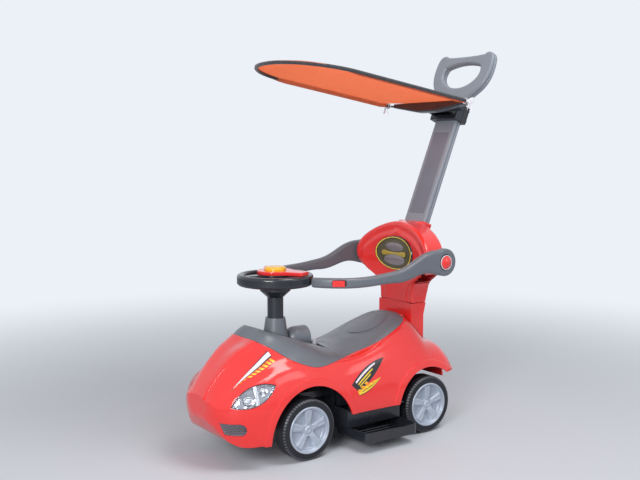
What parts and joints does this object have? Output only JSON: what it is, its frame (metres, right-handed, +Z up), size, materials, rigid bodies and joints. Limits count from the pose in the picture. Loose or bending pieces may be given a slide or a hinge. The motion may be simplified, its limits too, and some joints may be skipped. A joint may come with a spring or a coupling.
{
  "type": "ride-on push car",
  "caption": "Toddler push car: moulded body with lidded saddle seat, backrest, swing-up guard arms, steering wheel, sliding footrests, tall leaning push handle and tilting cloth canopy.",
  "frame": {"origin": "on the floor, at the middle of the object's bounding box", "axes": "+Z up, -Y towards the nose, +X to the car's left"},
  "size_m": [0.38, 0.888, 1.0156],
  "materials": {
    "red": "smooth glossy moulding",
    "dark_grey": "satin moulding",
    "handle_grey": "satin moulding",
    "inlay_grey": "matt inlay",
    "black": "glossy black moulding",
    "bush_white": "low-friction plastic",
    "tyre_black": "matt blown plastic",
    "silver": "silver-pigmented plastic",
    "yellow": "glossy button",
    "badge": "printed plate",
    "catch_grey": "light grey moulding",
    "clear": "clear plastic lens",
    "reflector": "metallised plastic",
    "steel": "zinc-plated steel",
    "orange_cloth": "woven polyester, lets light through"
  },
  "bodies": {
    "frame": {"body_shell": "red", "dash_panel": "dark_grey", "column_collar": "dark_grey", "seat_catch": "catch_grey", "seat_hinge_pin": "steel", "headlight_lens_left": "clear", "headlight_lens_right": "clear", "headlight_reflector_left": "reflector", "headlight_reflector_right": "reflector", "fog_grille_left": "black", "fog_grille_right": "black", "backrest_front": "red", "backrest_rear": "red", "backrest_badge": "badge", "arm_pivot_left": "red", "arm_pivot_right": "red", "handle_front": "handle_grey", "handle_rear": "handle_grey", "handle_inlay": "inlay_grey", "handle_screws": "steel", "canopy_clamp_front": "black", "canopy_clamp_rear": "black", "clamp_screws": "steel", "canopy_bolt": "steel", "undertray": "black", "storage_bin": "black", "steering_bush": "bush_white", "rear_axle": "steel", "rear_axle_caps": "steel", "rear_axle_bush_left": "bush_white", "rear_axle_bush_right": "bush_white"},
    "seat": {"seat_lid": "dark_grey"},
    "steering": {"steering_wheel": "black", "steering_hub_cover": "red", "steering_column": "black", "steering_shaft": "steel", "front_carrier": "black", "front_axle": "steel", "front_axle_caps": "steel"},
    "horn": {"horn_button": "yellow"},
    "canopy": {"canopy_bracket": "black", "canopy_hoop": "steel", "canopy_fabric": "orange_cloth"},
    "clamp_knob": {"canopy_knob": "black"},
    "wheel_front_left": {"tyre_front_left": "tyre_black", "wheel_cover_front_left": "silver"},
    "wheel_rear_left": {"tyre_rear_left": "tyre_black", "wheel_cover_rear_left": "silver"},
    "guard_arm_left": {"arm_left": "dark_grey"},
    "button_left": {"arm_button_left": "red"},
    "latch_left": {"arm_latch_left": "red"},
    "step_left": {"footrest_left": "black"},
    "wheel_front_right": {"tyre_front_right": "tyre_black", "wheel_cover_front_right": "silver"},
    "wheel_rear_right": {"tyre_rear_right": "tyre_black", "wheel_cover_rear_right": "silver"},
    "guard_arm_right": {"arm_right": "dark_grey"},
    "button_right": {"arm_button_right": "red"},
    "latch_right": {"arm_latch_right": "red"},
    "step_right": {"footrest_right": "black"}
  },
  "joints": [
    {"name": "steer", "type": "hinge", "parent": "frame", "child": "steering", "pos_m": [0, -0.223, 0.1], "axis": [0, 0, 1], "range_deg": [-20, 20]},
    {"name": "seat_open", "type": "hinge", "parent": "frame", "child": "seat", "pos_m": [0, 0.15263, 0.29932], "axis": [-1, 0, 0], "range_deg": [0, 60]},
    {"name": "horn_press", "type": "slide", "parent": "steering", "child": "horn", "axis": [0, 0, -1], "range_m": [0, 0.0025], "stiffness_N_per_m": 400},
    {"name": "canopy_tilt", "type": "hinge", "parent": "frame", "child": "canopy", "pos_m": [0, 0.32383, 0.86266], "axis": [-1, 0, 0], "range_deg": [0, 50]},
    {"name": "clamp_knob_turn", "type": "hinge", "parent": "frame", "child": "clamp_knob", "pos_m": [0.067, 0.32383, 0.86266], "axis": [1, 0, 0], "continuous": true},
    {"name": "front_spin_left", "type": "hinge", "parent": "steering", "child": "wheel_front_left", "pos_m": [0.117, -0.216, 0.075], "axis": [1, 0, 0], "continuous": true},
    {"name": "rear_spin_left", "type": "hinge", "parent": "frame", "child": "wheel_rear_left", "pos_m": [0.117, 0.166, 0.075], "axis": [1, 0, 0], "continuous": true},
    {"name": "arm_swing_left", "type": "hinge", "parent": "frame", "child": "guard_arm_left", "pos_m": [0.1645, 0.18992, 0.455], "axis": [-1, 0, 0], "range_deg": [0, 85]},
    {"name": "arm_button_press_left", "type": "slide", "parent": "guard_arm_left", "child": "button_left", "axis": [-1, 0, 0], "range_m": [0, 0.003], "stiffness_N_per_m": 400},
    {"name": "arm_latch_slide_left", "type": "slide", "parent": "guard_arm_left", "child": "latch_left", "axis": [0.6099, 0.7924, 0], "range_m": [0, 0.004], "stiffness_N_per_m": 300},
    {"name": "footrest_slide_left", "type": "slide", "parent": "frame", "child": "step_left", "axis": [-1, 0, 0], "range_m": [0, 0.06]},
    {"name": "front_spin_right", "type": "hinge", "parent": "steering", "child": "wheel_front_right", "pos_m": [-0.117, -0.216, 0.075], "axis": [1, 0, 0], "continuous": true},
    {"name": "rear_spin_right", "type": "hinge", "parent": "frame", "child": "wheel_rear_right", "pos_m": [-0.117, 0.166, 0.075], "axis": [1, 0, 0], "continuous": true},
    {"name": "arm_swing_right", "type": "hinge", "parent": "frame", "child": "guard_arm_right", "pos_m": [-0.1645, 0.18992, 0.455], "axis": [-1, 0, 0], "range_deg": [0, 85]},
    {"name": "arm_button_press_right", "type": "slide", "parent": "guard_arm_right", "child": "button_right", "axis": [1, 0, 0], "range_m": [0, 0.003], "stiffness_N_per_m": 400},
    {"name": "arm_latch_slide_right", "type": "slide", "parent": "guard_arm_right", "child": "latch_right", "axis": [-0.6099, 0.7924, 0], "range_m": [0, 0.004], "stiffness_N_per_m": 300},
    {"name": "footrest_slide_right", "type": "slide", "parent": "frame", "child": "step_right", "axis": [1, 0, 0], "range_m": [0, 0.06]}
  ]
}
